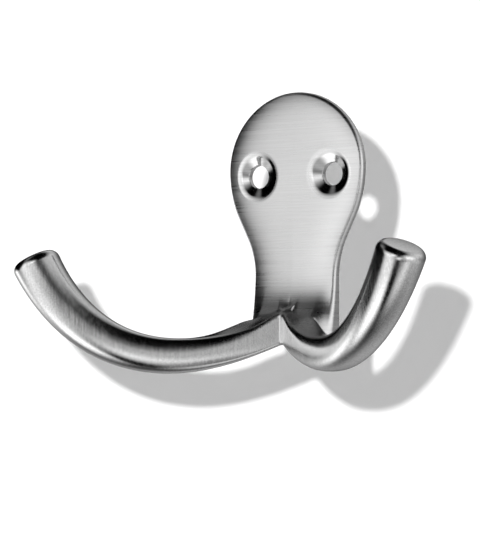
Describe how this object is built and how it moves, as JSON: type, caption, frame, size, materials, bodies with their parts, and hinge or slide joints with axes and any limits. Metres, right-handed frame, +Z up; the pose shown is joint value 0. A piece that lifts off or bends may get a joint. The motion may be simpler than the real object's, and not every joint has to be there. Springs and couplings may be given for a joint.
{
  "type": "double robe hook",
  "caption": "Wall hook with a pear-shaped, countersunk back plate and two spreading arms that dip and sweep up to blunt round tips.",
  "frame": {"origin": "on the plate's back face, midway between the two screw holes", "axes": "+X along the row of holes, -Y out from the wall, +Z up"},
  "size_m": [0.0916, 0.0345, 0.0547],
  "materials": {
    "plate_metal": "satin, brushed across the plate",
    "arm_metal": "hand polished, with a linished root"
  },
  "bodies": {
    "root": {"back_plate": "plate_metal", "left_arm": "arm_metal", "right_arm": "arm_metal"}
  },
  "joints": []
}
